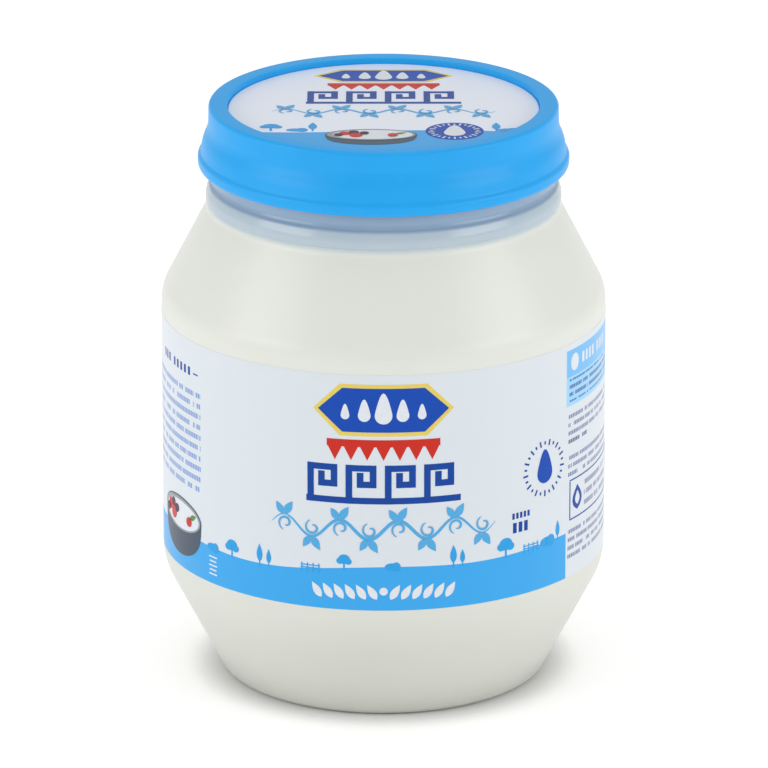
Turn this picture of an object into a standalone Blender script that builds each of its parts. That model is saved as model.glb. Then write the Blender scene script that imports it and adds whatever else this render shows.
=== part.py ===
"""A shut one-kilogram plastic tub of yoghurt: tub, lid, wrap label and lid disc.

Every piece is turned about +Z. The tub stands on z = 0 with its axis at the origin.
Outlines are lists of corners (radius, height, blend radius), in millimetres.
"""

import math

import bmesh
import bpy

MM = 0.001
SEGMENTS = 60
BLEND_STEP = math.radians(16)
SHARP_ANGLE = math.radians(35)
GAP = 0.3
SHARP = 0.0

# Tub body, from the foot up
BODY_RADIUS = 54.0
FOOT_RADIUS = 39.2
FOOT_BLEND = 3.1
BASE_PUSH_UP = 2.2
BASE_PANEL_RADIUS = 26.0
BASE_PANEL_BLEND = 1.5
FOOT_RING_INNER = 30.0
FOOT_RING_BLEND = 1.2
CYLINDER_BOTTOM = 28.7
CYLINDER_TOP = 96.5
LOWER_BLEND = 12.8
UPPER_BLEND = 8.8
SHOULDER_RADIUS = 42.8
SHOULDER_TOP = 118.2
SHOULDER_BLEND = 4.0
TUB_WALL = 1.1

# Collar and neck of the tub
COLLAR_RADIUS = 43.1
COLLAR_BOTTOM = 119.4
COLLAR_TOP = 123.7
COLLAR_EDGE = 0.9
NECK_RADIUS = 41.5
NECK_TOP = 129.6
NECK_BLEND = 1.0
FINISH_RADIUS = 40.5
FINISH_BOTTOM = 131.6
TUB_RIM = 141.9

# What the tub holds
FILL_LEVEL = 121.0

# Lid: beaded lip, flared skirt, upright band, raised ring and sunk panel
LID_BOTTOM = 128.3
LID_TOP = 143.4
LIP_RADIUS = 44.95
LIP_WALL = 1.4
LIP_CHAMFER = 0.6
LIP_BLEND = 0.8
LIP_TOP = 131.5
SKIRT_RADIUS = 44.25
FLARE_RADIUS = 43.8
FLARE_HEIGHT = 134.4
FLARE_BLEND = 4.0
BAND_RADIUS = 42.4
BAND_TOP_RADIUS = 42.3
BAND_BOTTOM = 137.5
RING_OUTER_BLEND = 0.8
RING_INNER_BLEND = 0.5
RECESS_RADIUS = 37.8
PANEL_TOP = 141.7
LID_WALL = 1.2
LID_INSIDE_RADIUS = 41.0

# Printed film
WRAP_BOTTOM = 32.5
WRAP_TOP = 91.9
FILM = 0.3
DISC_RADIUS = 37.5

FOOT = (FOOT_RADIUS, 0.0)
LOW = (BODY_RADIUS, CYLINDER_BOTTOM)
HIGH = (BODY_RADIUS, CYLINDER_TOP)
SHOULDER = (SHOULDER_RADIUS, SHOULDER_TOP)


def at_height(start, end, height):
    """The point of the line through start and end at that height."""
    share = (height - start[1]) / (end[1] - start[1])
    return start[0] + share * (end[0] - start[0]), height


def at_radius(start, end, radius):
    """The point of the line through start and end at that radius."""
    share = (radius - start[0]) / (end[0] - start[0])
    return radius, start[1] + share * (end[1] - start[1])


def moved_left(start, end, distance):
    """The stretch from start to end, moved to its left by distance."""
    along_r, along_z = end[0] - start[0], end[1] - start[1]
    length = math.hypot(along_r, along_z)
    side_r, side_z = -along_z / length * distance, along_r / length * distance
    return (start[0] + side_r, start[1] + side_z), (end[0] + side_r, end[1] + side_z)


def turn_between(before, after):
    """Positive where the outline turns left from the stretch before to the stretch after."""
    (r1, z1), (r2, z2) = before
    (r3, z3), (r4, z4) = after
    return (r2 - r1) * (z4 - z3) - (z2 - z1) * (r4 - r3)


def meet(first, second):
    """Where the lines of two stretches cross."""
    (r1, z1), (r2, z2) = first
    (r3, z3), (r4, z4) = second
    cross = (r1 - r2) * (z3 - z4) - (z1 - z2) * (r3 - r4)
    a = r1 * z2 - z1 * r2
    b = r3 * z4 - z3 * r4
    return (a * (r3 - r4) - (r1 - r2) * b) / cross, (a * (z3 - z4) - (z1 - z2) * b) / cross


def inset(corners, distance):
    """The corners of a parallel outline, distance to the left of one that runs outwards and up."""
    points = [corner[:2] for corner in corners]
    stretches = [moved_left(a, b, distance) for a, b in zip(points, points[1:])]
    inner = [(*stretches[0][0], SHARP)]
    for before, after, corner in zip(stretches, stretches[1:], corners[1:]):
        if turn_between(before, after) > 0:
            blend = max(corner[2] - distance, 0.0)
        else:
            blend = corner[2] + distance
        inner.append((*meet(before, after), blend))
    inner.append((*stretches[-1][1], SHARP))
    return inner


def corner_arc(before, corner, after, blend):
    """Points of the round blend at one corner."""
    r, z = corner
    back = math.atan2(before[1] - z, before[0] - r)
    ahead = math.atan2(after[1] - z, after[0] - r)
    opening = (ahead - back + math.pi) % (2 * math.pi) - math.pi
    half = abs(opening) / 2
    middle = back + opening / 2
    centre_r = r + blend / math.sin(half) * math.cos(middle)
    centre_z = z + blend / math.sin(half) * math.sin(middle)
    sweep = -math.copysign(math.pi - 2 * half, opening)
    first = middle + math.pi - sweep / 2
    steps = max(2, round(abs(sweep) / BLEND_STEP))
    angles = [first + sweep * step / steps for step in range(steps + 1)]
    return [(centre_r + blend * math.cos(a), centre_z + blend * math.sin(a)) for a in angles]


def rounded(corners):
    """The points of an outline, with the blend of each corner worked out."""
    points = [corners[0][:2]]
    for before, corner, after in zip(corners, corners[1:], corners[2:]):
        if corner[2] > SHARP:
            points += corner_arc(before[:2], corner[:2], after[:2], corner[2])
        else:
            points.append(corner[:2])
    return points + [corners[-1][:2]]


def plastic(name, colour, roughness):
    """A Principled material of one colour."""
    material = bpy.data.materials.new(name)
    material.use_nodes = True
    shader = material.node_tree.nodes["Principled BSDF"]
    shader.inputs["Base Color"].default_value = (*colour, 1.0)
    shader.inputs["Roughness"].default_value = roughness
    shader.inputs["Metallic"].default_value = 0.0
    return material


def turned(name, outline, material):
    """One closed solid spun about +Z from an outline that ends on the axis or is a ring's section."""
    work = bmesh.new()
    points = [work.verts.new((r * MM, 0.0, z * MM)) for r, z in outline]
    pairs = list(zip(points, points[1:]))
    if outline[0][0] > 0.0:
        pairs.append((points[-1], points[0]))
    edges = [work.edges.new(pair) for pair in pairs]
    bmesh.ops.spin(
        work,
        geom=points + edges,
        cent=(0, 0, 0),
        axis=(0, 0, 1),
        angle=2 * math.pi,
        steps=SEGMENTS,
        use_merge=True,
    )
    bmesh.ops.remove_doubles(work, verts=work.verts, dist=0.001 * MM)
    bmesh.ops.recalc_face_normals(work, faces=work.faces)
    mesh = bpy.data.meshes.new(name)
    work.to_mesh(mesh)
    work.free()
    mesh.shade_smooth()
    mesh.set_sharp_from_angle(angle=SHARP_ANGLE)
    mesh.materials.append(material)
    bpy.context.scene.collection.objects.link(bpy.data.objects.new(name, mesh))


def wall_path(top):
    """The tub's plain outer wall up to a height, which its inside follows: no foot ring, no collar."""
    path = [
        (0.0, BASE_PUSH_UP, SHARP),
        (*at_height(FOOT, LOW, BASE_PUSH_UP), FOOT_BLEND + TUB_WALL),
        (*LOW, LOWER_BLEND),
        (*HIGH, UPPER_BLEND),
        (*at_radius(HIGH, SHOULDER, NECK_RADIUS), SHOULDER_BLEND),
    ]
    if top < NECK_TOP:
        return path + [(NECK_RADIUS, top, SHARP)]
    return path + [
        (NECK_RADIUS, NECK_TOP, NECK_BLEND),
        (FINISH_RADIUS, FINISH_BOTTOM, NECK_BLEND),
        (FINISH_RADIUS, top, SHARP),
    ]


def make_tub():
    """The hollow tub, with its mouth under the lid."""
    outside = [
        (0.0, BASE_PUSH_UP, SHARP),
        (BASE_PANEL_RADIUS, BASE_PUSH_UP, BASE_PANEL_BLEND),
        (FOOT_RING_INNER, 0.0, FOOT_RING_BLEND),
        (*FOOT, FOOT_BLEND),
        (*LOW, LOWER_BLEND),
        (*HIGH, UPPER_BLEND),
        (*SHOULDER, SHOULDER_BLEND),
        (SHOULDER_RADIUS, COLLAR_BOTTOM, SHARP),
        (COLLAR_RADIUS, COLLAR_BOTTOM + COLLAR_RADIUS - SHOULDER_RADIUS, SHARP),
        (COLLAR_RADIUS, COLLAR_TOP, COLLAR_EDGE),
        (NECK_RADIUS, COLLAR_TOP, SHARP),
        (NECK_RADIUS, NECK_TOP, NECK_BLEND),
        (FINISH_RADIUS, FINISH_BOTTOM, NECK_BLEND),
        (FINISH_RADIUS, TUB_RIM, SHARP),
    ]
    inside = inset(wall_path(TUB_RIM), TUB_WALL)
    outline = rounded(outside) + rounded(inside)[::-1]
    turned("tub", outline, plastic("tub_plastic", (0.74, 0.78, 0.80), 0.35))


def make_yogurt():
    """The yoghurt, clear of the tub's inside by the gap, up to its level in the neck."""
    side = inset(wall_path(FILL_LEVEL), TUB_WALL + GAP)
    outline = rounded(side) + [(0.0, FILL_LEVEL)]
    turned("yogurt", outline, plastic("yogurt", (0.86, 0.84, 0.78), 0.45))


def make_lid():
    """The lid, one wall that runs from the panel's underside round the lip to the panel's top."""
    underside = PANEL_TOP - LID_WALL
    ring_underside = LID_TOP - LID_WALL
    plug_radius = RECESS_RADIUS + LID_WALL
    inside = [
        (0.0, underside, SHARP),
        (plug_radius, underside, SHARP),
        (plug_radius, ring_underside, SHARP),
        (LID_INSIDE_RADIUS, ring_underside, SHARP),
        (LID_INSIDE_RADIUS, BAND_BOTTOM, SHARP),
        (FLARE_RADIUS - LID_WALL, FLARE_HEIGHT, SHARP),
        (SKIRT_RADIUS - LID_WALL, LIP_TOP, SHARP),
    ]
    outside = [
        (LIP_RADIUS - LIP_WALL, LID_BOTTOM, SHARP),
        (LIP_RADIUS - LIP_CHAMFER / 2, LID_BOTTOM, SHARP),
        (LIP_RADIUS, LID_BOTTOM + LIP_CHAMFER, LIP_BLEND),
        (LIP_RADIUS, LIP_TOP - LIP_BLEND, LIP_BLEND),
        (SKIRT_RADIUS, LIP_TOP, SHARP),
        (FLARE_RADIUS, FLARE_HEIGHT, FLARE_BLEND),
        (BAND_RADIUS, BAND_BOTTOM, FLARE_BLEND),
        (BAND_TOP_RADIUS, LID_TOP, RING_OUTER_BLEND),
        (RECESS_RADIUS, LID_TOP, RING_INNER_BLEND),
        (RECESS_RADIUS, PANEL_TOP, SHARP),
        (0.0, PANEL_TOP, SHARP),
    ]
    outline = rounded(inside) + rounded(outside)
    turned("lid", outline, plastic("lid_plastic", (0.045, 0.39, 0.87), 0.3))


def make_wrap_label():
    """The film wrapped round the straight part of the body."""
    inner = BODY_RADIUS + GAP
    outer = inner + FILM
    outline = [(inner, WRAP_BOTTOM), (outer, WRAP_BOTTOM), (outer, WRAP_TOP), (inner, WRAP_TOP)]
    turned("wrap_label", outline, plastic("label_film", (0.72, 0.78, 0.84), 0.3))


def make_lid_label():
    """The printed disc that lies in the lid's sunk panel."""
    low = PANEL_TOP + GAP
    high = low + FILM
    outline = [(0.0, low), (DISC_RADIUS, low), (DISC_RADIUS, high), (0.0, high)]
    turned("lid_label", outline, plastic("lid_print", (0.62, 0.70, 0.80), 0.3))


def main():
    """Clears the scene and makes every piece."""
    for old in list(bpy.data.objects):
        bpy.data.objects.remove(old)
    make_tub()
    make_yogurt()
    make_lid()
    make_wrap_label()
    make_lid_label()


main()
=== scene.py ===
# %% [markdown]
# A shut one-kilogram tub of yoghurt: a translucent plastic tub, a sky-blue lid, a printed film wrapped
# round the body and a printed disc in the lid. The frame holds the solids at their real size. This
# lesson builds the fine surface round them: turned plastic, the yoghurt behind it, film and print.

# %% Load the frame
import math

import bmesh
import bpy
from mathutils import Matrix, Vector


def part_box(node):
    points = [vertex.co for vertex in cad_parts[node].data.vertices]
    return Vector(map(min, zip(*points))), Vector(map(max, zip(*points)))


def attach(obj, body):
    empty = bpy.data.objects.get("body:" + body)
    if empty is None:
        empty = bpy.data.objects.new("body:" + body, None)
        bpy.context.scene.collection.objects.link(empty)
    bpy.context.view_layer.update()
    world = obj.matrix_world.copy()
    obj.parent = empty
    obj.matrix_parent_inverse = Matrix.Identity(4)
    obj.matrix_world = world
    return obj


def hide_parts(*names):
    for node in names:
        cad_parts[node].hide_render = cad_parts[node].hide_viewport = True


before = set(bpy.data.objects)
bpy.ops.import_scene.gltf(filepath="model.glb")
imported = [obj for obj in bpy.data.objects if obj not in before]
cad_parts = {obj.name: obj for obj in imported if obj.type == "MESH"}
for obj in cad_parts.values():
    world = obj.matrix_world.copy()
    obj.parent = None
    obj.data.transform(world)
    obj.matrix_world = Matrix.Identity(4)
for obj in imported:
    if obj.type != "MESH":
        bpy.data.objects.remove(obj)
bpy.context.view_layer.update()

MM = 0.001
BODY = "root"
print("solid pieces:", sorted(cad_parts))

# %% [markdown]
# The main sizes come from the frame's boxes. The corners between them are the maker's drawing of the
# tub, in millimetres: a radius from the axis, a height above the table, and how far the rounding of
# the corner reaches along both sides.

# %% Sizes
_, tub_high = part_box("tub")
lid_low, lid_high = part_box("lid")
film_low, film_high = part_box("wrap_label")
_, disc_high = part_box("lid_label")
_, yogurt_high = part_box("yogurt")

BODY_RADIUS = tub_high.x / MM
TUB_RIM = tub_high.z / MM
FILL_LEVEL = yogurt_high.z / MM
LID_BOTTOM = lid_low.z / MM
LID_TOP = lid_high.z / MM
LIP_RADIUS = lid_high.x / MM
WRAP_BOTTOM = film_low.z / MM
WRAP_TOP = film_high.z / MM
DISC_RADIUS = disc_high.x / MM
DISC_TOP = disc_high.z / MM

TUB_WALL = 1.1
BASE_PUSH_UP = 2.2
GATE_RADIUS = 8.8
GATE_HALF = 0.8
GATE_DEEP = 0.3
PUSH_UP_RADIUS = 26.0
FOOT_INNER = 30.0
FOOT_RADIUS = 39.2
CYLINDER_BOTTOM = 28.7
CYLINDER_TOP = 96.5
SHOULDER_RADIUS = 42.8
SHOULDER_TOP = 118.2
COLLAR_RADIUS = 43.1
COLLAR_BOTTOM = 119.4
COLLAR_TOP = 123.7
COLLAR_TAPER = 0.7
TAPER_HEIGHT = 2.4
NECK_RADIUS = 41.5
NECK_TOP = 129.6
FINISH_RADIUS = 40.5
FINISH_BOTTOM = 131.6

print(f"tub {2 * BODY_RADIUS:.1f} mm across, {LID_TOP:.1f} mm high")
print(f"film {WRAP_TOP - WRAP_BOTTOM:.1f} mm high")

# %% [markdown]
# Tub, lid, yoghurt and disc are round, so each is drawn as half of its section and spun about the axis,
# as on a lathe. Stacked cylinders could be bevelled instead, but a section shows the wall's thickness
# and every corner at a glance. By hand this is a plane merged to one point, extruded from corner to
# corner, its corners rounded by a vertex bevel, and the whole wire spun through a full turn. The poles
# and the seam are then merged.

# %% Tools for drawing by hand
TURN_STEPS = 240
SMOOTH_ANGLE = math.radians(35)


def leave_edit():
    """Object mode with nothing selected, so that the next operator meets only its own piece."""
    if bpy.context.mode != "OBJECT":
        bpy.ops.object.mode_set(mode="OBJECT")
    bpy.ops.object.select_all(action="DESELECT")


def take(piece):
    """Makes one piece the active one, alone selected."""
    leave_edit()
    piece.select_set(True)
    bpy.context.view_layer.objects.active = piece


def pick_vertices(piece, wanted):
    """Selects, in edit mode, the vertices whose place passes the test."""
    work = bmesh.from_edit_mesh(piece.data)
    for face in work.faces:
        face.select = False
    for edge in work.edges:
        edge.select = False
    for vertex in work.verts:
        vertex.select = wanted(vertex.co)
    work.select_flush(True)
    bmesh.update_edit_mesh(piece.data)


def wire(name, points):
    """A wire through the points, given in millimetres in the XZ plane."""
    leave_edit()
    bpy.ops.mesh.primitive_plane_add(size=MM, location=(0, 0, 0))
    piece = bpy.context.object
    piece.name = piece.data.name = name
    bpy.ops.object.mode_set(mode="EDIT")
    bpy.ops.mesh.select_mode(type="VERT")
    bpy.ops.mesh.select_all(action="SELECT")
    bpy.ops.mesh.merge(type="CENTER")
    x, z = points[0]
    bpy.ops.transform.translate(value=(x * MM, 0, z * MM))
    for next_x, next_z in points[1:]:
        step = ((next_x - x) * MM, 0, (next_z - z) * MM)
        bpy.ops.mesh.extrude_region_move(TRANSFORM_OT_translate={"value": step})
        x, z = next_x, next_z
    return piece


def round_corner(piece, x, z, reach, segments):
    """A vertex bevel at one corner of the wire."""
    near = 0.01 * MM
    pick_vertices(piece, lambda co: abs(co.x - x * MM) < near and abs(co.z - z * MM) < near)
    bpy.ops.mesh.bevel(
        affect="VERTICES",
        offset_type="OFFSET",
        offset=reach * MM,
        segments=segments,
        profile=0.5,
    )


def turned(name, corners):
    """A closed piece of revolution from corners (radius, height, reach of the rounding)."""
    piece = wire(name, [(r, z) for r, z, _ in corners])
    for r, z, reach in corners:
        if reach > 0:
            round_corner(piece, r, z, reach, segments=6)
    bpy.ops.mesh.select_all(action="SELECT")
    bpy.ops.mesh.spin(steps=TURN_STEPS, angle=2 * math.pi, center=(0, 0, 0), axis=(0, 0, 1))
    bpy.ops.mesh.select_all(action="SELECT")
    bpy.ops.mesh.remove_doubles(threshold=0.002 * MM)
    bpy.ops.mesh.normals_make_consistent(inside=False)
    take(piece)
    bpy.ops.object.shade_smooth_by_angle(angle=SMOOTH_ANGLE)
    print(name, len(piece.data.polygons), "faces")
    return piece


def keep(piece, slot, *nodes):
    """The piece rides on the body and stands for the solids named. The slot is not used."""
    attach(piece, BODY)
    if nodes:
        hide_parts(*nodes)


# %% [markdown]
# The tub is one thin wall. Its outside has a foot ring round a pushed-up base with a shallow moulding
# ring, two sloped stretches round a straight one, a collar that stops the lid, and a neck. The collar
# tapers a little, so that it catches the softboxes. The inside follows the same line a wall's
# thickness further in. Solidify could make the wall, but it would also thicken the rim and the collar,
# so the wall is drawn whole: from the axis, up the outside, over the rim and back down.

# %% The tub
tub = turned(
    "tub_shell",
    [
        (0.0, BASE_PUSH_UP, 0),
        (GATE_RADIUS - GATE_HALF, BASE_PUSH_UP, 0.5),
        (GATE_RADIUS, BASE_PUSH_UP - GATE_DEEP, 0.3),
        (GATE_RADIUS + GATE_HALF, BASE_PUSH_UP, 0.5),
        (PUSH_UP_RADIUS, BASE_PUSH_UP, 1.0),
        (FOOT_INNER, 0.0, 0.8),
        (FOOT_RADIUS, 0.0, 1.9),
        (BODY_RADIUS, CYLINDER_BOTTOM, 3.1),
        (BODY_RADIUS, CYLINDER_TOP, 2.2),
        (SHOULDER_RADIUS, SHOULDER_TOP, 1.0),
        (SHOULDER_RADIUS, COLLAR_BOTTOM, 0.15),
        (COLLAR_RADIUS, COLLAR_BOTTOM + 0.3, 0.2),
        (COLLAR_RADIUS, COLLAR_TOP - TAPER_HEIGHT, 0.6),
        (COLLAR_RADIUS - COLLAR_TAPER, COLLAR_TOP - 0.1, 0.4),
        (NECK_RADIUS, COLLAR_TOP + COLLAR_TAPER, 0.9),
        (NECK_RADIUS, NECK_TOP, 0.4),
        (FINISH_RADIUS, FINISH_BOTTOM, 0.4),
        (FINISH_RADIUS, TUB_RIM, 0.3),
        (FINISH_RADIUS - TUB_WALL, TUB_RIM, 0.3),
        (FINISH_RADIUS - TUB_WALL, FINISH_BOTTOM - 0.3, 0.4),
        (NECK_RADIUS - TUB_WALL, NECK_TOP - 0.3, 0.4),
        (NECK_RADIUS - TUB_WALL, SHOULDER_TOP + 2.2, 1.0),
        (BODY_RADIUS - TUB_WALL, CYLINDER_TOP - 0.3, 2.0),
        (BODY_RADIUS - TUB_WALL, CYLINDER_BOTTOM + 0.3, 3.0),
        (FOOT_RADIUS + 0.7, BASE_PUSH_UP + TUB_WALL, 1.6),
        (0.0, BASE_PUSH_UP + TUB_WALL, 0),
    ],
)
keep(tub, "tub_plastic", "tub")

# %% [markdown]
# The yoghurt is cast against the inside of the tub. It reaches a little into the wall, so that no dark
# gap of air shows through the translucent plastic. Its set surface is flat, with a rim that creeps up
# the wall.

# %% The yoghurt
INTO_WALL = 0.25
CREEP = 0.9
inner = BODY_RADIUS - TUB_WALL + INTO_WALL
inner_neck = NECK_RADIUS - TUB_WALL + INTO_WALL
yogurt = turned(
    "yogurt_body",
    [
        (0.0, BASE_PUSH_UP + TUB_WALL - INTO_WALL, 0),
        (FOOT_RADIUS + 0.8, BASE_PUSH_UP + TUB_WALL - INTO_WALL, 1.6),
        (inner, CYLINDER_BOTTOM + 0.3, 3.0),
        (inner, CYLINDER_TOP - 0.3, 2.0),
        (inner_neck, SHOULDER_TOP + 2.2, 0.7),
        (inner_neck, FILL_LEVEL, 0),
        (inner_neck - 0.5, FILL_LEVEL, 0.2),
        (inner_neck - 3.0, FILL_LEVEL - CREEP, 1.5),
        (0.0, FILL_LEVEL - CREEP, 0),
    ],
)
keep(yogurt, "yogurt", "yogurt")

# %% [markdown]
# The lid is one wall too: from the middle of its underside, down inside the skirt to the lip, and back
# up the outside, over the raised ring and into the sunk panel that holds the disc. The crease over the
# bead-like lip is a plain corner between two rounded ones.

# %% The lid
PANEL_TOP = DISC_TOP - 0.6
LID_WALL = 1.2
RECESS_RADIUS = 37.8
RING_RADIUS = 42.3
BAND_RADIUS = 42.4
BAND_BOTTOM = 137.5
FLARE_RADIUS = 43.8
FLARE_HEIGHT = 134.4
SKIRT_RADIUS = 44.25
LIP_TOP = 131.5
lid = turned(
    "lid_shell",
    [
        (0.0, PANEL_TOP - LID_WALL, 0),
        (RECESS_RADIUS + LID_WALL, PANEL_TOP - LID_WALL, 0.3),
        (RECESS_RADIUS + LID_WALL, LID_TOP - LID_WALL, 0.3),
        (RING_RADIUS - LID_WALL, LID_TOP - LID_WALL, 0.3),
        (RING_RADIUS - LID_WALL, BAND_BOTTOM, 0.4),
        (FLARE_RADIUS - LID_WALL, FLARE_HEIGHT, 0.4),
        (SKIRT_RADIUS - LID_WALL, LIP_TOP, 0.2),
        (LIP_RADIUS - 1.4, LID_BOTTOM, 0.2),
        (LIP_RADIUS - 0.3, LID_BOTTOM, 0.2),
        (LIP_RADIUS, LID_BOTTOM + 0.6, 0.3),
        (LIP_RADIUS, LIP_TOP - 0.8, 0.35),
        (SKIRT_RADIUS, LIP_TOP, 0.3),
        (FLARE_RADIUS, FLARE_HEIGHT, 1.2),
        (BAND_RADIUS, BAND_BOTTOM, 1.4),
        (RING_RADIUS, LID_TOP, 0.9),
        (RECESS_RADIUS, LID_TOP, 0.45),
        (RECESS_RADIUS, PANEL_TOP, 0.15),
        (0.0, PANEL_TOP, 0),
    ],
)
keep(lid, "lid_plastic", "lid")

# %% [markdown]
# The wrap is thin film, glued round the straight wall, its end lapped over its start at the back. A
# short cylinder would give the same ring, but not the print on it. So film and print are drawn flat, as
# a printer lays them out, on sheets that face -Y: millimetres along X become millimetres of arc once a
# bend modifier has wrapped them. Upright cuts first give the sheets something to bend at.

# %% Tools for flat sheets
FILM_THICK = 0.08
FILM_RADIUS = BODY_RADIUS + 0.01
SLICE = math.radians(1.5) * FILM_RADIUS


def slice_upright(piece):
    """Cuts a flat sheet by upright planes, a slice apart, so that it can bend."""
    take(piece)
    xs = [vertex.co.x / MM for vertex in piece.data.vertices]
    bpy.ops.object.mode_set(mode="EDIT")
    for count in range(math.ceil(min(xs) / SLICE), math.floor(max(xs) / SLICE) + 1):
        bpy.ops.mesh.select_all(action="SELECT")
        bpy.ops.mesh.bisect(plane_co=(count * SLICE * MM, 0, 0), plane_no=(1, 0, 0))


def bend_round(piece):
    """Bends a flat sheet that faces -Y round the tub's axis."""
    take(piece)
    xs = [vertex.co.x for vertex in piece.data.vertices]
    bend = piece.modifiers.new("bend", "SIMPLE_DEFORM")
    bend.deform_method = "BEND"
    bend.deform_axis = "Z"
    bend.angle = (max(xs) - min(xs)) / (FILM_RADIUS * MM)
    bpy.ops.object.modifier_apply(modifier=bend.name)
    bpy.ops.object.mode_set(mode="EDIT")
    bpy.ops.mesh.select_all(action="SELECT")
    bpy.ops.transform.translate(value=(0, -FILM_RADIUS * MM, 0))


def thicken(piece, thickness):
    """Gives a sheet its thickness, half to each side, and turns its faces outwards."""
    take(piece)
    solid = piece.modifiers.new("thickness", "SOLIDIFY")
    solid.thickness = thickness * MM
    solid.offset = 0
    bpy.ops.object.modifier_apply(modifier=solid.name)
    bpy.ops.object.mode_set(mode="EDIT")
    bpy.ops.mesh.select_all(action="SELECT")
    bpy.ops.mesh.normals_make_consistent(inside=False)
    take(piece)
    bpy.ops.object.shade_smooth_by_angle(angle=SMOOTH_ANGLE)


print(f"a slice is {SLICE:.2f} mm of arc")

# %% The wrap film
LAP = 7.0
LAP_RISE = 0.12
LAP_START = 1.0
HALF_TURN = math.pi * FILM_RADIUS
film = wire("wrap_film", [(-HALF_TURN, WRAP_BOTTOM), (-HALF_TURN, WRAP_TOP)])
bpy.ops.mesh.select_all(action="SELECT")
bpy.ops.mesh.extrude_region_move(
    TRANSFORM_OT_translate={"value": ((2 * HALF_TURN + LAP) * MM, 0, 0)}
)
slice_upright(film)
pick_vertices(film, lambda co: co.x > (HALF_TURN - LAP_START) * MM)
bpy.ops.transform.translate(value=(0, -LAP_RISE * MM, 0))
bend_round(film)
thicken(film, FILM_THICK)
keep(film, "label_film", "wrap_label")
print("film", len(film.data.polygons), "faces")

# %% [markdown]
# The disc in the lid is a thin round sheet of printed card with an eased edge. It is turned like the
# other round pieces, so that its edge can be rounded in the same way.

# %% The lid disc
DISC_THICK = 0.25
DISC_BOTTOM = PANEL_TOP + 0.02
disc = turned(
    "lid_disc",
    [
        (0.0, DISC_BOTTOM, 0),
        (DISC_RADIUS, DISC_BOTTOM, 0),
        (DISC_RADIUS, DISC_BOTTOM + DISC_THICK, 0.1),
        (0.0, DISC_BOTTOM + DISC_THICK, 0),
    ],
)
keep(disc, "lid_print", "lid_label")

# %% [markdown]
# The print is ink: very thin sheets, one joined mesh for each colour. A material could paint the figures
# too, but small forms stay sharper as meshes and are easier to move. Every figure is drawn flat in the
# XZ plane, in millimetres. Figures that overlap lie on different layers, because two faces in one plane
# shade each other black.

# %% Round and square figures
INK_THICK = 0.03
drawn = {}


def layer_y(layer):
    """How far in front of the sheet a layer of ink lies, in metres."""
    return -(FILM_THICK / 2 + INK_THICK * (layer - 0.5)) * MM


def put(ink, piece):
    """Files a figure under its ink, with its place in its mesh."""
    leave_edit()
    take(piece)
    bpy.ops.object.transform_apply(location=True, rotation=True, scale=True)
    drawn.setdefault(ink, []).append(piece)


def spot(ink, x, z, half_wide, half_high, layer=1, sides=40):
    """A filled ellipse."""
    leave_edit()
    bpy.ops.mesh.primitive_circle_add(
        vertices=sides,
        radius=1,
        fill_type="NGON",
        location=(x * MM, layer_y(layer), z * MM),
        rotation=(math.pi / 2, 0, 0),
    )
    piece = bpy.context.object
    piece.scale = (half_wide * MM, half_high * MM, 1)
    put(ink, piece)


def block(ink, x, z, wide, high, layer=1, turn=0.0):
    """A filled rectangle."""
    leave_edit()
    bpy.ops.mesh.primitive_plane_add(
        size=1, location=(x * MM, layer_y(layer), z * MM), rotation=(math.pi / 2, turn, 0)
    )
    piece = bpy.context.object
    piece.scale = (wide * MM, high * MM, 1)
    put(ink, piece)


print("one layer of ink is", INK_THICK, "mm")


# %% Figures with an outline
def figure(ink, points, layer=1):
    """A filled outline of any form."""
    piece = wire("figure", points + points[:1])
    bpy.ops.mesh.select_all(action="SELECT")
    bpy.ops.transform.translate(value=(0, layer_y(layer), 0))
    bpy.ops.mesh.remove_doubles(threshold=0.001 * MM)
    bpy.ops.mesh.edge_face_add()
    bpy.ops.mesh.quads_convert_to_tris(ngon_method="BEAUTY")
    put(ink, piece)


def stroke(ink, points, width, layer=1):
    """A line of ink along the points, thinner towards its ends."""
    left, right = [], []
    last = len(points) - 1
    for count, (x, z) in enumerate(points):
        ahead, behind = points[min(count + 1, last)], points[max(count - 1, 0)]
        run, rise = ahead[0] - behind[0], ahead[1] - behind[1]
        length = math.hypot(run, rise)
        share = math.sin(math.pi * (count + 0.35) / (last + 0.7)) ** 0.5
        half = width / 2 * share
        left.append((x - rise / length * half, z + run / length * half))
        right.append((x + rise / length * half, z - run / length * half))
    figure(ink, left + right[::-1], layer)


def leaf(ink, x, z, length, width, turn, layer=1):
    """A pointed leaf that grows from a point in the direction of turn, in degrees."""
    steps = 8
    along = [count / steps for count in range(steps + 1)]
    upper = [(share * length, width / 2 * math.sin(math.pi * share ** 0.8)) for share in along]
    lower = [(share, -wide) for share, wide in upper[-2:0:-1]]
    angle = math.radians(turn)
    cos, sin = math.cos(angle), math.sin(angle)
    points = [(x + a * cos - b * sin, z + a * sin + b * cos) for a, b in upper + lower]
    figure(ink, points, layer)


# %% [markdown]
# The ornaments are plain and belong to no maker: drops of milk on a plaque, a key pattern, a vine,
# leaves, a seal, trees and a bowl. Each function draws one of them round a middle point, so that wrap
# and disc can share it.

# %% The plaque
PENNANTS = 7
PENNANT_PITCH = 3.9
DROP_PITCH = 4.6


def drop(ink, x, z, radius, height, layer):
    """A drop of milk: a round foot and a pointed head."""
    points = []
    for count in range(28):
        angle = 2 * math.pi * count / 28
        lift = height * max(0.0, math.cos(angle)) ** 3
        points.append((x + radius * math.sin(angle), z + radius * math.cos(angle) + lift))
    figure(ink, points, layer)


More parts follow.
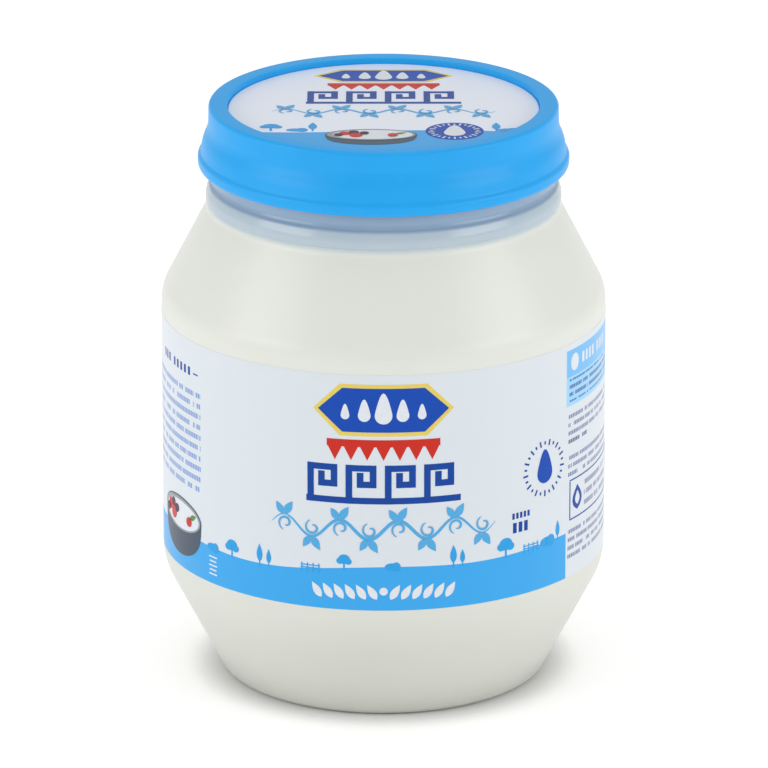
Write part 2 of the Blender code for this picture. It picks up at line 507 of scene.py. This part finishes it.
def plaque(x, z, half_wide=17.0, high=13.0):
    """A six-sided plaque in blue and yellow with drops of milk, and a row of pennants under it."""
    for ink, grow, layer in (("yellow_ink", 0.0, 1), ("blue_ink", 1.0, 2)):
        wide, tall, flat = half_wide - 1.2 * grow, high / 2 - grow, half_wide - 6.5 - 0.6 * grow
        figure(
            ink,
            [
                (x - wide, z),
                (x - flat, z + tall),
                (x + flat, z + tall),
                (x + wide, z),
                (x + flat, z - tall),
                (x - flat, z - tall),
            ],
            layer,
        )
    for side, size in ((0, 1.0), (-1, 0.72), (1, 0.72), (-2, 0.5), (2, 0.5)):
        drop("white_ink", x + DROP_PITCH * side, z - 1.3, 2.1 * size, 3.6 * size, 3)
    top = z - high / 2 - 0.9
    block("red_ink", x, top - 0.9, PENNANT_PITCH * PENNANTS, 1.8, 2)
    for count in range(PENNANTS):
        middle = x + (count - (PENNANTS - 1) / 2) * PENNANT_PITCH
        corners = [(middle - 1.9, top - 1.4), (middle + 1.9, top - 1.4), (middle, top - 5.2)]
        figure("red_ink", corners, 1)


# %% The key pattern
def key_pattern(ink, x, z, units=4, pitch=9.4, high=10.6, thick=1.6):
    """The old square spiral border, as upright and level bars on one base line."""
    left = x - units * pitch / 2
    bottom, top = z - high / 2, z + high / 2
    block(ink, x, bottom + thick / 2, units * pitch, thick)
    for count in range(units):
        start = left + count * pitch + 0.3
        end = start + pitch - 2.0
        inner_left = start + 2.7
        inner_low = bottom + 2 * thick + 0.9
        block(ink, start + thick / 2, (bottom + top) / 2, thick, high, 2)
        block(ink, (start + end) / 2, top - thick / 2, end - start, thick)
        block(ink, end - thick / 2, (inner_low + top) / 2, thick, top - inner_low, 2)
        block(ink, (inner_left + end) / 2, inner_low + thick / 2, end - inner_left, thick)
        block(ink, inner_left + thick / 2, inner_low + 1.9, thick, 3.8, 2)


# %% The vine and the garland
def vine(ink, x, z, half_long=29.5, swing=2.4, waves=4):
    """A winding stem with a curled tendril and a pair of leaves in each bend."""
    steps = 26 * waves
    stem = []
    for count in range(steps + 1):
        share = count / steps
        stem.append((x + (2 * share - 1) * half_long, z + swing * math.sin(2 * math.pi * waves * share)))
    stroke(ink, stem, 0.9)
    half_wave = half_long / waves
    for count in range(2 * waves):
        side = 1 if count % 2 == 0 else -1
        middle = x - half_long + (count + 0.5) * half_wave
        root = z + side * swing
        leaf(ink, middle, root, 4.0, 2.0, side * 58, 2)
        leaf(ink, middle - 0.4, root, 3.4, 1.8, side * 122, 3)
        curl = []
        for step in range(22):
            angle = math.radians(250 - 17 * step)
            radius = 2.0 * (1 - step / 30)
            rise = 0.2 + radius * math.sin(angle)
            curl.append((middle + 0.3 + radius * math.cos(angle), z + side * rise))
        stroke(ink, curl, 0.6, layer=4)


def leaf_row(ink, x, z, half_long=17.0, count=13, length=4.4):
    """A garland: slanting leaves that part from a dot in the middle."""
    spot(ink, x, z, 1.0, 1.0, 2)
    for number in range(1, count // 2 + 1):
        away = number * half_long / (count // 2 + 0.3)
        for side in (-1, 1):
            tilt = 90 - side * 32
            leaf(ink, x + side * (away - 1.1), z - length / 2 + 0.1, length, 1.9, tilt, 2)


# %% The seal
def roundel(ring_ink, middle_ink, x, z, radius=6.4, ticks=26):
    """A ring of short ticks round a drop."""
    for count in range(ticks):
        angle = 2 * math.pi * count / ticks
        tick_x, tick_z = x + radius * math.sin(angle), z + radius * math.cos(angle)
        long = 1.5 if count % 2 else 0.8
        block(ring_ink, tick_x, tick_z, 0.45, long, 2, turn=angle)
    drop(middle_ink, x, z - 1.2, 2.6, 3.4, 2)


# %% The figures on the horizon
def tree(ink, x, z, kind, size=1.0):
    """A small tree, poplar, bush or fence on the horizon."""
    if kind == "tree":
        block(ink, x, z + 0.7 * size, 0.4 * size, 1.8 * size)
        spot(ink, x, z + 2.3 * size, 1.3 * size, 1.1 * size, 2, sides=20)
        spot(ink, x - 0.9 * size, z + 1.9 * size, 0.8 * size, 0.7 * size, 3, sides=16)
        spot(ink, x + 0.9 * size, z + 1.8 * size, 0.8 * size, 0.7 * size, 3, sides=16)
    elif kind == "poplar":
        block(ink, x, z + 0.4 * size, 0.3 * size, 1.4 * size)
        leaf(ink, x, z + 0.5 * size, 3.6 * size, 1.3 * size, 90, 2)
    elif kind == "bush":
        spot(ink, x, z + 0.3 * size, 1.5 * size, 0.8 * size, sides=20)
        spot(ink, x + 0.9 * size, z + 0.3 * size, 0.9 * size, 1.0 * size, 2, sides=16)
    else:
        for post in range(4):
            block(ink, x + post * 1.1 * size, z + 0.5 * size, 0.25 * size, 1.9 * size)
        for rail in (0.5, 1.0):
            block(ink, x + 1.65 * size, z + rail * size, 3.8 * size, 0.22 * size, 2)


# %% The bowl
def bowl(x, z, half_wide=11.5, half_high=3.6, deep=9.0):
    """A dark bowl of yoghurt with a few berries, seen a little from above."""
    side = []
    for count in range(25):
        angle = math.pi * count / 24
        reach = half_wide * math.cos(angle) * (1 - 0.06 * math.sin(angle))
        side.append((x - reach, z - deep * math.sin(angle) ** 0.6))
    figure("slate_ink", side, 2)
    spot("slate_ink", x, z, half_wide, half_high, 3)
    spot("stone_ink", x, z, half_wide - 0.35, half_high - 0.3, 4)
    spot("white_ink", x + 0.4, z - 0.1, half_wide - 1.4, half_high - 0.9, 5)
    fruit = (
        (-6.2, 0.6, 1.5, "red_ink"),
        (-4.1, 1.3, 1.3, "berry_ink"),
        (-3.6, -0.6, 1.6, "red_ink"),
        (-7.8, -0.4, 1.1, "berry_ink"),
        (-1.6, 0.7, 1.1, "berry_ink"),
        (5.2, -0.6, 1.2, "red_ink"),
    )
    for count, (across, up, size, ink) in enumerate(fruit):
        spot(ink, x + across, z + up * half_high / 3.6, size, size * half_high / 4.4, 6 + count, sides=20)
    leaf("leaf_ink", x + 5.6, z + 0.2, 3.2, 1.4, 24, 6)


print("ornaments ready")

# %% [markdown]
# The print of the wrap is laid out from the middle of its front. Arcs count to the right from there,
# heights from the film's lower edge. What would be lettering on a sold pack is bare here, or is ticks
# and dashes of like size.

# %% The horizon
BAND_HEIGHT = 10.2
SWELLS = ((1.1, FILM_RADIUS / 2, 0.4), (0.5, FILM_RADIUS / 6, 1.9))


def horizon(arc):
    """The height of the blue band's rolling upper edge at a millimetre of arc."""
    return BAND_HEIGHT + sum(rise * math.sin(arc / long + start) for rise, long, start in SWELLS)


def at(height):
    """A height above the film's lower edge, as a height above the table."""
    return WRAP_BOTTOM + height


print(f"the horizon is {horizon(0.0):.1f} mm up in front")

# %% Large ornaments of the wrap
PLAQUE_HEIGHT = 50.6
KEY_HEIGHT = 31.9
VINE_HEIGHT = 20.4
GARLAND_HEIGHT = 4.9
SEAL_ARC = 43.2
SEAL_HEIGHT = 30.5
BOWL_ARC = -62.0
BOWL_HEIGHT = 13.6
plaque(0.0, at(PLAQUE_HEIGHT))
key_pattern("navy_ink", 0.0, at(KEY_HEIGHT), high=9.8)
vine("sky_ink", 0.0, at(VINE_HEIGHT), half_long=28.0)
leaf_row("white_ink", 0.0, at(GARLAND_HEIGHT))
roundel("navy_ink", "blue_ink", SEAL_ARC, at(SEAL_HEIGHT))
bowl(BOWL_ARC, at(BOWL_HEIGHT), half_wide=10.6, half_high=4.4, deep=10.4)
print("inks in use:", sorted(drawn))

# %% Ticks and dashes in place of lettering
TICKS_ARC = 33.2
DASHES_ARC = -46.8
LINE_THICK = 0.35
for count in range(5):
    block("navy_ink", TICKS_ARC + count * 1.15, at(20.4), 0.7, 1.5)
    block("white_ink", DASHES_ARC, at(2.4 + 1.1 * count), 3.0 - 0.5 * (count % 2), LINE_THICK)
for count in range(3):
    block("navy_ink", TICKS_ARC + 0.4 + count * 1.7, at(17.4), 1.1, 2.6)

COLUMN_HEAD_ARC = -56.6
COLUMN_HEAD_HEIGHT = 51.6
PANEL_HEAD_ARC = 59.2
PANEL_HEAD_HEIGHT = 54.5
for count in range(8):
    column_gap = 1.6 if count > 4 else 0.0
    panel_gap = 1.5 if count > 3 else 0.0
    column_tick = COLUMN_HEAD_ARC - 2.1 * count - column_gap
    panel_tick = PANEL_HEAD_ARC + 1.95 * count + panel_gap
    block("navy_ink", column_tick, at(COLUMN_HEAD_HEIGHT), 1.0, 2.1)
    block("white_ink", panel_tick, at(PANEL_HEAD_HEIGHT), 1.1, 2.7)
block("navy_ink", COLUMN_HEAD_ARC + 3.0, at(COLUMN_HEAD_HEIGHT - 0.2), 2.0, LINE_THICK)
spot("white_ink", PANEL_HEAD_ARC - 4.2, at(PANEL_HEAD_HEIGHT - 0.1), 1.8, 2.2)

# %% The framed box of the side panel
BOX_ARC = 68.5
BOX_HEIGHT = 19.5
BOX_WIDE = 31.0
BOX_TALL = 10.0
MARK_ARC = 56.6
for side in (-1, 1):
    block("navy_ink", BOX_ARC, at(BOX_HEIGHT + side * BOX_TALL / 2), BOX_WIDE, LINE_THICK)
    upright = BOX_ARC + side * (BOX_WIDE / 2 - 0.1)
    block("navy_ink", upright, at(BOX_HEIGHT), LINE_THICK, BOX_TALL - 0.4, 2)
leaf("navy_ink", MARK_ARC, at(BOX_HEIGHT - 3.2), 6.4, 4.6, 90)
leaf("white_ink", MARK_ARC, at(BOX_HEIGHT - 1.9), 3.6, 2.2, 90, 2)

# %% Trees, bushes and fences along the horizon
ROOTED = 0.35
TREE_SIZE = 1.3
for arc, kind, size in (
    (-47.0, "bush", 1.0),
    (-40.0, "tree", 1.0),
    (-31.5, "poplar", 1.0),
    (-28.9, "poplar", 0.8),
    (-20.0, "fence", 1.0),
    (-9.5, "tree", 0.85),
    (2.0, "bush", 0.9),
    (17.0, "poplar", 1.0),
    (19.3, "poplar", 0.75),
    (31.0, "tree", 1.1),
    (36.5, "fence", 1.0),
    (44.0, "bush", 1.2),
    (48.0, "poplar", 0.9),
    (-92.0, "tree", 1.0),
    (-104.0, "poplar", 1.0),
    (-118.0, "fence", 1.0),
    (-131.0, "bush", 1.0),
    (-142.0, "tree", 1.1),
    (-155.0, "poplar", 0.9),
):
    tree("band_ink", arc, at(horizon(arc)) - ROOTED, kind, TREE_SIZE * size)

# %% [markdown]
# A printer lays down one ink after another. In the same way the figures of each ink are joined into one
# piece, which then takes the film's bend and a trace of thickness. A piece for each figure would only
# make a long list.

# %% Join the inks and bend them
printed = []


def print_on(prefix, finish):
    """Joins the figures of each ink into one piece and finishes it."""
    for ink, figures in sorted(drawn.items()):
        leave_edit()
        for piece in figures:
            piece.select_set(True)
        bpy.context.view_layer.objects.active = figures[0]
        bpy.ops.object.join()
        joined = bpy.context.object
        joined.name = joined.data.name = f"{prefix}_{ink}"
        finish(joined)
        thicken(joined, INK_THICK)
        print(joined.name, len(joined.data.polygons), "faces")
        printed.append((joined, ink))
    drawn.clear()


def bend_print(piece):
    """Wraps a joined ink round the body."""
    slice_upright(piece)
    bend_round(piece)
    keep(piece, "label_film")


print_on("wrap", bend_print)

# %% [markdown]
# The print of the disc is drawn upright in the same way, round the disc's middle, and then laid down.

# %% Print of the lid disc
DISC_SEAL = (17.0, -19.5)
DISC_SEAL_RADIUS = 7.0
DISC_TREES = ((-27.0, "tree"), (-21.0, "bush"), (-17.0, "poplar"), (27.0, "poplar"), (29.5, "bush"))
DISC_SHORE = -19.0
plaque(0.0, 27.0, high=11.0)
key_pattern("navy_ink", 0.0, 8.6, high=10.4)
vine("sky_ink", 0.0, -3.0, half_long=27.0, swing=2.0)
roundel("white_ink", "white_ink", *DISC_SEAL, radius=5.6)
spot("blue_ink", *DISC_SEAL, DISC_SEAL_RADIUS, DISC_SEAL_RADIUS)
bowl(-3.0, -22.5, half_wide=11.0, half_high=4.6, deep=8.0)
for across, kind in DISC_TREES:
    tree("band_ink", across, DISC_SHORE, kind, 1.6)


def lay_down(piece):
    """Turns an upright sheet on its back and lays it on the disc."""
    take(piece)
    piece.rotation_euler = (-math.pi / 2, 0, 0)
    piece.location = (0, 0, (DISC_BOTTOM + DISC_THICK - FILM_THICK / 2) * MM)
    bpy.ops.object.transform_apply(location=True, rotation=True, scale=True)
    keep(piece, "lid_print")


print_on("disc", lay_down)

# %% [markdown]
# Finishes are written as sums. Nodes could be added and linked one by one, but a long chain of them
# hides its sum. So one small class stands for a value that travels from node to node: Python's own
# signs add the Math nodes, and one method adds any other node.

# %% A value in a material
class Value:
    """One socket's value in a material's nodes."""

    def __init__(self, tree, socket):
        self.tree = tree
        self.socket = socket

    def node(self, kind, settings=None, inputs=None, output=0):
        """Adds a node: its settings first, then its sockets' values or links."""
        made = self.tree.nodes.new(kind)
        for name, setting in (settings or {}).items():
            setattr(made, name, setting)
        for name, value in (inputs or {}).items():
            if isinstance(value, Value):
                self.tree.links.new(value.socket, made.inputs[name])
            else:
                made.inputs[name].default_value = value
        return Value(self.tree, made.outputs[output])

    def math(self, operation, *others):
        """A Math node on this value and the others."""
        return self.node("ShaderNodeMath", {"operation": operation}, dict(enumerate((self, *others))))

    def __add__(self, other):
        return self.math("ADD", other)

    def __radd__(self, other):
        return self.math("ADD", other)

    def __sub__(self, other):
        return self.math("SUBTRACT", other)

    def __rsub__(self, other):
        return self.node("ShaderNodeMath", {"operation": "SUBTRACT"}, {0: other, 1: self})

    def __mul__(self, other):
        return self.math("MULTIPLY", other)

    def __rmul__(self, other):
        return self.math("MULTIPLY", other)

    def __truediv__(self, other):
        return self.math("DIVIDE", other)

    def __gt__(self, other):
        return self.math("GREATER_THAN", other)

    def __lt__(self, other):
        return self.math("LESS_THAN", other)

    def __mod__(self, other):
        return self.math("FLOORED_MODULO", other)

    def between(self, low, high):
        """One between the two bounds and nought outside."""
        return (self > low) * (self < high)

    def ease(self, low, high):
        """Nought below low, one above high, and a smooth rise between."""
        settings = {"interpolation_type": "SMOOTHSTEP"}
        inputs = {"Value": self, "From Min": low, "From Max": high}
        return self.node("ShaderNodeMapRange", settings, inputs)

    def mix(self, plain, painted):
        """This value as a mask that paints one colour over another."""
        settings = {"data_type": "RGBA"}
        return self.node("ShaderNodeMix", settings, {0: self, 6: plain, 7: painted}, output=2)


# %% A colour and a finish
def linear(red, green, blue):
    """A colour as seen on a screen, 0 to 255, in the scene's own linear light."""
    def one(level):
        share = level / 255
        return share / 12.92 if share <= 0.04045 else ((share + 0.055) / 1.055) ** 2.4

    return one(red), one(green), one(blue), 1.0


class Finish:
    """A material being made: its shader and the place on the piece, in millimetres."""

    def __init__(self, name):
        self.material = bpy.data.materials.new(name)
        self.material.use_nodes = True
        self.tree = self.material.node_tree
        self.shader = self.tree.nodes["Principled BSDF"]
        coordinates = self.tree.nodes.new("ShaderNodeTexCoord")
        metres = Value(self.tree, coordinates.outputs["Object"])
        settings = {"operation": "SCALE"}
        self.place = metres.node("ShaderNodeVectorMath", settings, {0: metres, 3: 1 / MM})
        self.x, self.y, self.z = [
            self.place.node("ShaderNodeSeparateXYZ", None, {0: self.place}, axis) for axis in range(3)
        ]

    def noise(self, size, detail=2.0):
        """Noise with spots of about that size in millimetres, from 0 to 1."""
        inputs = {"Vector": self.place, "Scale": 1 / size, "Detail": detail}
        return self.place.node("ShaderNodeTexNoise", None, inputs)

    def feed(self, socket, value):
        """Links a value to a socket of the shader, or sets a constant on it."""
        if isinstance(value, Value):
            self.tree.links.new(value.socket, self.shader.inputs[socket])
        else:
            self.shader.inputs[socket].default_value = value

    def bump(self, height, reach):
        """A bump whose height value counts for that many millimetres."""
        inputs = {"Height": height, "Distance": reach * MM, "Strength": 1.0}
        self.feed("Normal", height.node("ShaderNodeBump", None, inputs))

    def give(self, *pieces):
        """Makes this the pieces' only material."""
        for piece in pieces:
            piece.data.materials.clear()
            piece.data.materials.append(self.material)
        print("finish", self.material.name, len(self.tree.nodes), "nodes")


# %% [markdown]
# The tub is milky plastic: light goes through it softly. Over the yoghurt it reads as cream white, over
# the empty neck as a cool grey, and on the collar as something between. The neck's grey is painted
# shade of the dark headspace under the lid. Real glass-like transmission renders slowly and leaves dark
# edges in so thin a wall, so a tint for each zone and a little transparency stand for it. Towards the
# foot the tint is greyer, as in the photograph: painted shade on the lower slope, which faces the floor.

# %% Finish of the tub
tub_finish = Finish("tub_plastic")
cloud = tub_finish.noise(18.0, 3.0)
grain = tub_finish.noise(0.5, 2.0)
body_tint = cloud.mix(linear(225, 228, 219), linear(229, 231, 223))
# The neck's cool grey is painted shade: the dark, empty headspace under the lid, seen through the wall.
neck_shade_tint = cloud.mix(linear(152, 179, 206), linear(160, 186, 211))
collar_tint = cloud.mix(linear(186, 204, 217), linear(194, 210, 221))
above_fill = tub_finish.z.ease(SHOULDER_TOP - 0.4, SHOULDER_TOP + 1.6)
above_collar = tub_finish.z.ease(COLLAR_TOP - 0.7, COLLAR_TOP + 0.2)
# Painted shade: the tint turns greyer towards the foot, below the film.
foot_shade_mask = 1 - tub_finish.z.ease(14.0, WRAP_BOTTOM + 12.0)
foot_shade_tint = cloud.mix(linear(208, 209, 200), linear(213, 214, 205))
tub_tint = above_collar.mix(above_fill.mix(body_tint, collar_tint), neck_shade_tint)
tub_tint = foot_shade_mask.mix(tub_tint, foot_shade_tint)
tub_finish.feed("Base Color", tub_tint)
tub_finish.feed("Alpha", 0.93 - 0.13 * above_fill)
tub_finish.feed("Roughness", 0.3 + 0.08 * cloud - 0.16 * above_fill)
tub_finish.bump(grain, 0.01)
tub_finish.give(tub)

# %% [markdown]
# Set yoghurt is cream white, damp and a little translucent, with faint curds. Some subsurface light
# keeps it from looking like paint.

# %% Finish of the yoghurt
yogurt_finish = Finish("yogurt")
curd = yogurt_finish.noise(9.0, 4.0)
yogurt_finish.feed("Base Color", curd.mix(linear(234, 232, 220), linear(240, 238, 228)))
yogurt_finish.feed("Roughness", 0.42 + 0.1 * curd)
yogurt_finish.feed("Subsurface Weight", 0.3)
yogurt_finish.feed("Subsurface Radius", (0.004, 0.003, 0.002))
yogurt_finish.bump(yogurt_finish.noise(2.5, 3.0), 0.05)
yogurt_finish.give(yogurt)

# %% [markdown]
# The lid is dyed in the mass, so its sky blue is even, with faint flow clouds. A weak reflection keeps
# the blue deep under the white studio light.

# %% Finish of the lid
lid_finish = Finish("lid_plastic")
flow = lid_finish.noise(14.0, 3.0)
skin = lid_finish.noise(0.35, 2.0)
lid_finish.feed("Base Color", flow.mix(linear(26, 160, 232), linear(32, 167, 239)))
lid_finish.feed("Specular IOR Level", 0.25)
lid_finish.feed("Roughness", 0.34 + 0.08 * flow)
lid_finish.bump(skin, 0.012)
lid_finish.give(lid)

# %% [markdown]
# The film's own fields are painted by its material: the blue band with its rolling edge, the white panel
# at the side, two blue blocks and rows of small dashes. Meshes would do for the blocks, but not for
# hundreds of dashes. An arc in millimetres comes from the angle round the axis. A row is a run of
# ticks, which noise breaks into pieces as long as words.

# %% Rows of dashes
RAGGED = 8.0
TICK_PITCH = 0.8
TICK_LONG = 0.52


def rows(across, up, left, right, bottom, top, pitch):
    """Dashes inside a box: ticks in rows, with gaps, ragged on the side away from the front."""
    line = up / pitch
    number = line.math("FLOOR")
    within = (line % 1.0).between(0.24, 0.72)
    settings = {"noise_dimensions": "2D"}
    spread = across.node("ShaderNodeCombineXYZ", None, {0: across * 0.6, 1: number * 3.7 + left})
    word_inputs = {"Vector": spread, "Scale": 1.0, "Detail": 1.0}
    edge_inputs = {"Vector": spread, "Scale": 0.02, "Detail": 0.0}
    words = across.node("ShaderNodeTexNoise", settings, word_inputs)
    ragged = across.node("ShaderNodeTexNoise", settings, edge_inputs) * RAGGED
    ticks = ((across + number * 0.31) % TICK_PITCH).between(0.0, TICK_LONG)
    box = across.between(left, right - ragged) if right > 0 else across.between(left + ragged, right)
    return box * up.between(bottom, top) * within * (words > 0.37) * (0.3 + 0.7 * ticks)


print(f"a tick is {TICK_LONG} mm long")

# %% Fields of the film
PANEL_LEFT = 51.4
PANEL_RIGHT = 121.0
BLOCK_RIGHT = PANEL_LEFT + 42.0
SKY = linear(44, 162, 230)
WHITE = linear(213, 220, 226)
SLATE = linear(110, 118, 160)
film_finish = Finish("label_film")
arc = film_finish.x.math("ARCTAN2", 0 - film_finish.y) * FILM_RADIUS
up = film_finish.z - WRAP_BOTTOM
edge = BAND_HEIGHT
for rise, long, start in SWELLS:
    edge = (arc / long + start).math("SINE") * rise + edge
panel = arc.between(PANEL_LEFT, PANEL_RIGHT)
band = (up < edge) * (1 - panel)
colour = band.mix(WHITE, SKY)
deep_block = arc.between(PANEL_LEFT, BLOCK_RIGHT) * up.between(51.0, 57.8)
pale_block = arc.between(PANEL_LEFT, BLOCK_RIGHT) * up.between(43.6, 51.0)
colour = deep_block.mix(colour, linear(110, 184, 238))
colour = pale_block.mix(colour, linear(150, 206, 242))
for left, right, bottom, top, pitch, ink in (
    (PANEL_LEFT + 1.2, PANEL_LEFT + 40, 44.6, 50.4, 1.9, linear(40, 74, 150)),
    (PANEL_LEFT + 0.8, PANEL_LEFT + 60, 35.7, 42.0, 2.1, SLATE),
    (PANEL_LEFT + 0.8, PANEL_LEFT + 12, 33.6, 35.7, 2.1, linear(60, 70, 130)),
    (PANEL_LEFT + 0.8, PANEL_LEFT + 60, 25.2, 31.5, 2.1, SLATE),
    (PANEL_LEFT + 8.8, PANEL_LEFT + 31, 15.6, 23.4, 2.6, SLATE),
    (PANEL_LEFT + 0.8, PANEL_LEFT + 60, 4.2, 12.6, 2.1, SLATE),
    (-96.0, -51.5, 21.2, 47.7, 2.65, linear(110, 146, 205)),
):
    dashes = rows(arc, up, left, right, bottom, top, pitch)
    colour = dashes.mix(colour, ink)
film_finish.feed("Base Color", colour)
film_finish.feed("Roughness", 0.27 + 0.06 * film_finish.noise(12.0))
film_finish.feed("Specular IOR Level", 0.4)
film_finish.bump(film_finish.noise(16.0, 2.0), 0.05)
film_finish.give(film)

# %% [markdown]
# The disc has two fields: white above, and sky blue along its front edge, parted by a rolling line.

# %% Fields of the lid disc
disc_finish = Finish("lid_print")
shore = (disc_finish.x / 11.0 + 0.5).math("SINE") * 0.9 - 19.5
sea = disc_finish.y < shore
disc_finish.feed("Base Color", sea.mix(linear(230, 236, 247), SKY))
disc_finish.feed("Roughness", 0.28 + 0.06 * disc_finish.noise(12.0))
disc_finish.bump(disc_finish.noise(11.0, 2.0), 0.05)
disc_finish.give(disc)

# %% [markdown]
# Ink is a thin, even coat. A trace of mottle keeps it from looking like paint out of a bucket.

# %% Finishes of the inks
INK_COLOURS = {
    "blue_ink": (0, 72, 178),
    "navy_ink": (0, 66, 156),
    "sky_ink": (84, 172, 226),
    "band_ink": (44, 162, 230),
    "white_ink": (226, 232, 238),
    "yellow_ink": (232, 208, 96),
    "red_ink": (206, 40, 22),
    "berry_ink": (70, 28, 60),
    "slate_ink": (70, 84, 100),
    "stone_ink": (150, 160, 168),
    "leaf_ink": (92, 140, 70),
}
inks = {}
for name, levels in INK_COLOURS.items():
    ink_finish = Finish(name)
    mottle = ink_finish.noise(1.2, 2.0)
    darker = [0.93 * level for level in levels]
    ink_finish.feed("Base Color", mottle.mix(linear(*darker), linear(*levels)))
    ink_finish.feed("Roughness", 0.3 + 0.05 * mottle)
    ink_finish.feed("Specular IOR Level", 0.22)
    inks[name] = ink_finish
for piece, ink in printed:
    inks[ink].give(piece)

# %% [markdown]
# The photograph shows the tub on plain white, with a soft grey rim under the foot. A white floor alone
# would read as pale grey in light this soft, so it glows a little, except close to the foot, where the
# tub's own shade should show. There the floor's colour is also darker: a painted shadow round the foot.

# %% The floor
FLOOR_SIZE = 8.0
SHADE_REACH = 11.0
leave_edit()
bpy.ops.mesh.primitive_plane_add(size=FLOOR_SIZE, location=(0, 0, 0))
floor = bpy.context.object
floor.name = "floor"
floor_finish = Finish("floor")
away_squared = floor_finish.x * floor_finish.x + floor_finish.y * floor_finish.y
beyond_painted_shadow = away_squared.math("SQRT").ease(FOOT_RADIUS, FOOT_RADIUS + SHADE_REACH)
# Painted shadow: the floor's colour is darker close to the foot.
floor_finish.feed("Base Color", beyond_painted_shadow.mix((0.82, 0.82, 0.82, 1), (0.93, 0.93, 0.93, 1)))
floor_finish.feed("Roughness", 0.86 + 0.08 * floor_finish.noise(400.0))
floor_finish.feed("Emission Color", beyond_painted_shadow.mix((0, 0, 0, 1), (1, 1, 1, 1)))
floor_finish.feed("Emission Strength", 0.26)
floor_finish.give(floor)

# %% [markdown]
# The photograph's light is nearly flat: a softbox at each side, which shows as pale streaks on the
# collar, some light from above, and white all round. Each light has its bearing from the front and its
# tilt in degrees, its distance, height and size in metres, and its power in watts.

# %% Lights
WORLD_STRENGTH = 0.63
LIGHTS = {
    "softbox_left": (-66.0, 1.1, 0.45, 72.0, 0.8, 0.4, 3.5),
    "softbox_right": (66.0, 1.1, 0.45, 72.0, 0.8, 0.4, 3.5),
    "softbox_above": (180.0, 0.3, 1.5, 12.0, 1.2, 1.2, 3.4),
}
for name, (azimuth, away, height, tilt, wide, tall, power) in LIGHTS.items():
    angle = math.radians(azimuth)
    bpy.ops.object.light_add(
        type="AREA",
        location=(away * math.sin(angle), -away * math.cos(angle), height),
        rotation=(math.radians(tilt), 0, angle),
    )
    lamp = bpy.context.object
    lamp.name = name
    lamp.data.shape = "RECTANGLE"
    lamp.data.size = wide
    lamp.data.size_y = tall
    lamp.data.energy = power

world = bpy.data.worlds.new("studio")
bpy.context.scene.world = world
world.use_nodes = True
world.node_tree.nodes["Background"].inputs["Color"].default_value = (1, 1, 1, 1)
world.node_tree.nodes["Background"].inputs["Strength"].default_value = WORLD_STRENGTH
bpy.context.scene.view_settings.view_transform = "Standard"
print("lights:", sorted(LIGHTS))

# %% [markdown]
# The photograph was taken with a long lens, a little from above. Pitch, distance and lens come from the
# rounds of lid, label and foot, which look like ellipses of slightly different slimness. The camera
# looks at a point close to the tub's axis.

# %% Camera
LENS = 381.5
SENSOR = 36.0
CAMERA_PITCH = math.radians(18.69)
CAMERA_AWAY = 1.988
LOOK_AT_HEIGHT = 71.55 * MM
LOOK_ASIDE = 0.1 * MM
bpy.ops.object.camera_add(
    location=(
        LOOK_ASIDE,
        -CAMERA_AWAY * math.cos(CAMERA_PITCH),
        LOOK_AT_HEIGHT + CAMERA_AWAY * math.sin(CAMERA_PITCH),
    ),
    rotation=(math.pi / 2 - CAMERA_PITCH, 0, 0),
)
camera = bpy.context.object
camera.data.sensor_width = SENSOR
camera.data.lens = LENS
camera.data.clip_end = 20
bpy.context.scene.camera = camera
